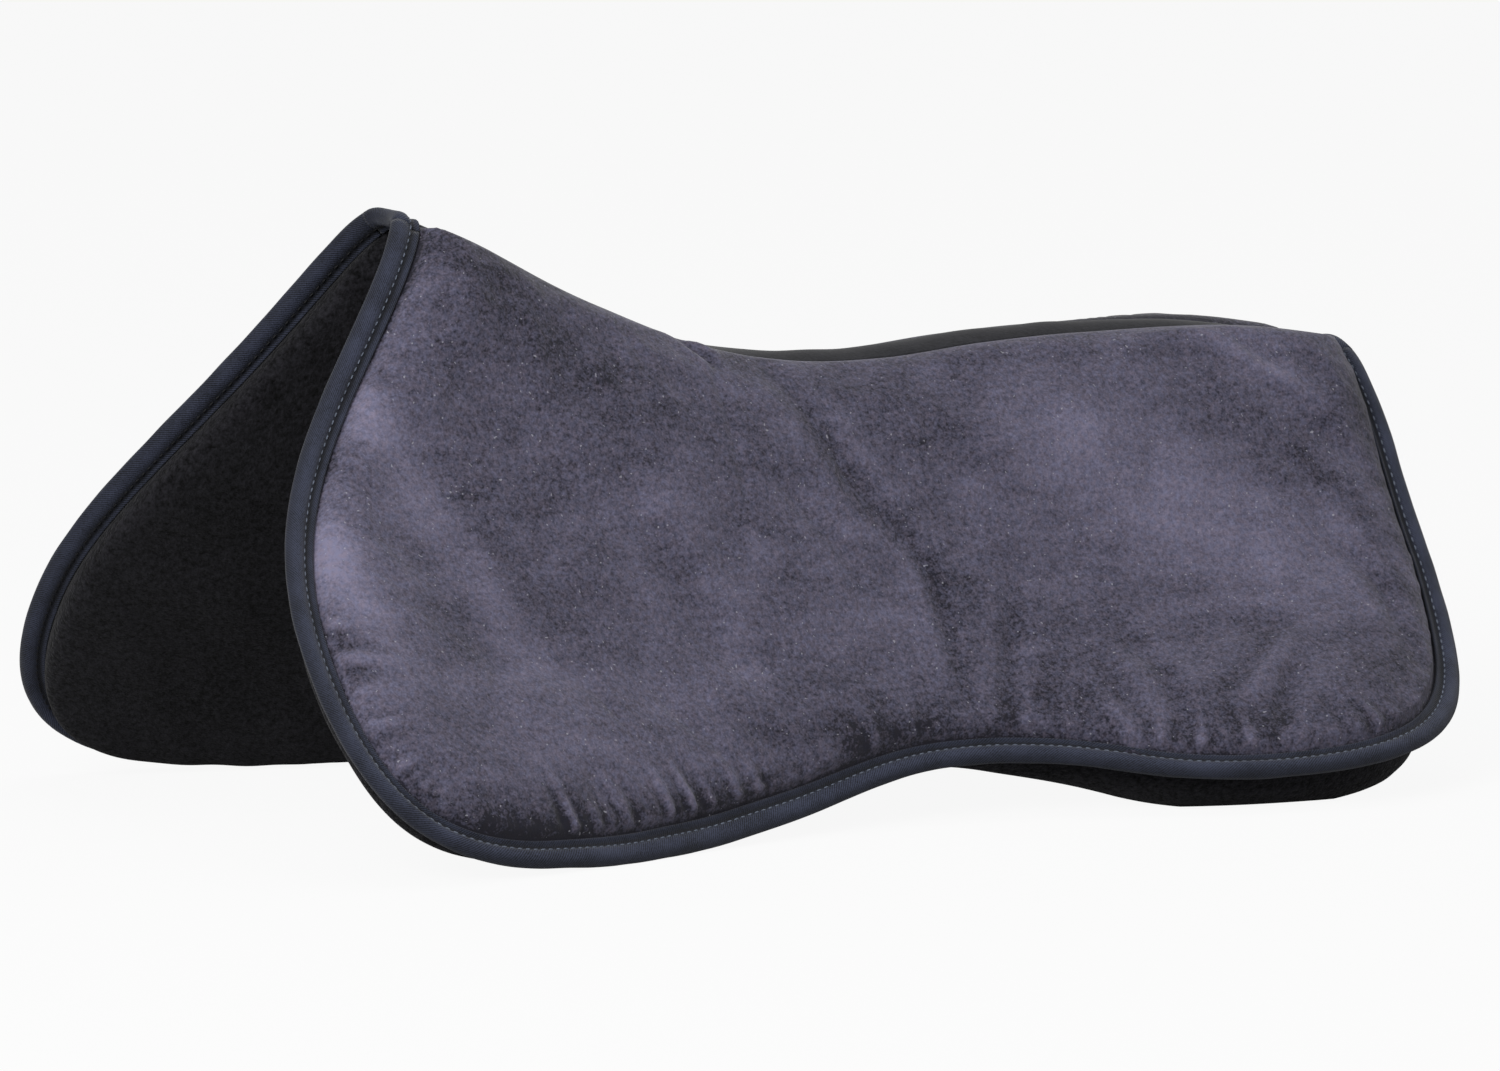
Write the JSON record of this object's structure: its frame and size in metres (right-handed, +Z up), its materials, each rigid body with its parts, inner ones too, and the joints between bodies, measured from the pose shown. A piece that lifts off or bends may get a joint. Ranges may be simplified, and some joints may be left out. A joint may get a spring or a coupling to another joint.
{
  "type": "half pad",
  "caption": "Padded saddle half pad: two suede wings with fleece lining, folded over an unpadded spine strip and bound with twill tape.",
  "frame": {"origin": "middle of the floor under the pad: centre of the overall box, at its base", "axes": "+X towards the rear, -X towards the pommel, -Y the horse's left (near) side, +Z up"},
  "size_m": [0.58, 0.3638, 0.261],
  "materials": {
    "suede": "brushed charcoal and aubergine microsuede, matt with soft nap marks",
    "foam": "open-cell foam, unseen inside",
    "fleece": "black short-pile fleece, pebbly and matt",
    "twill_tape": "dark slate twill tape with a pale grey-blue lockstitch",
    "strip_cloth": "plain charcoal cloth, matt"
  },
  "bodies": {
    "left_wing": {"suede_cover_left": "suede", "foam_core_left": "foam", "fleece_lining_left": "fleece", "edge_binding_left": "twill_tape", "spine_strip": "strip_cloth", "spine_lining": "fleece", "pommel_binding": "twill_tape", "rear_binding": "twill_tape"},
    "right_wing": {"suede_cover_right": "suede", "foam_core_right": "foam", "fleece_lining_right": "fleece", "edge_binding_right": "twill_tape"}
  },
  "joints": [
    {"name": "spine_fold", "type": "hinge", "parent": "left_wing", "child": "right_wing", "pos_m": [0.05, 0, 0.20321], "axis": [0.9921, 0, -0.1255], "range_deg": [-15, 30], "deforming": ["spine_strip", "spine_lining", "pommel_binding", "rear_binding"]}
  ]
}
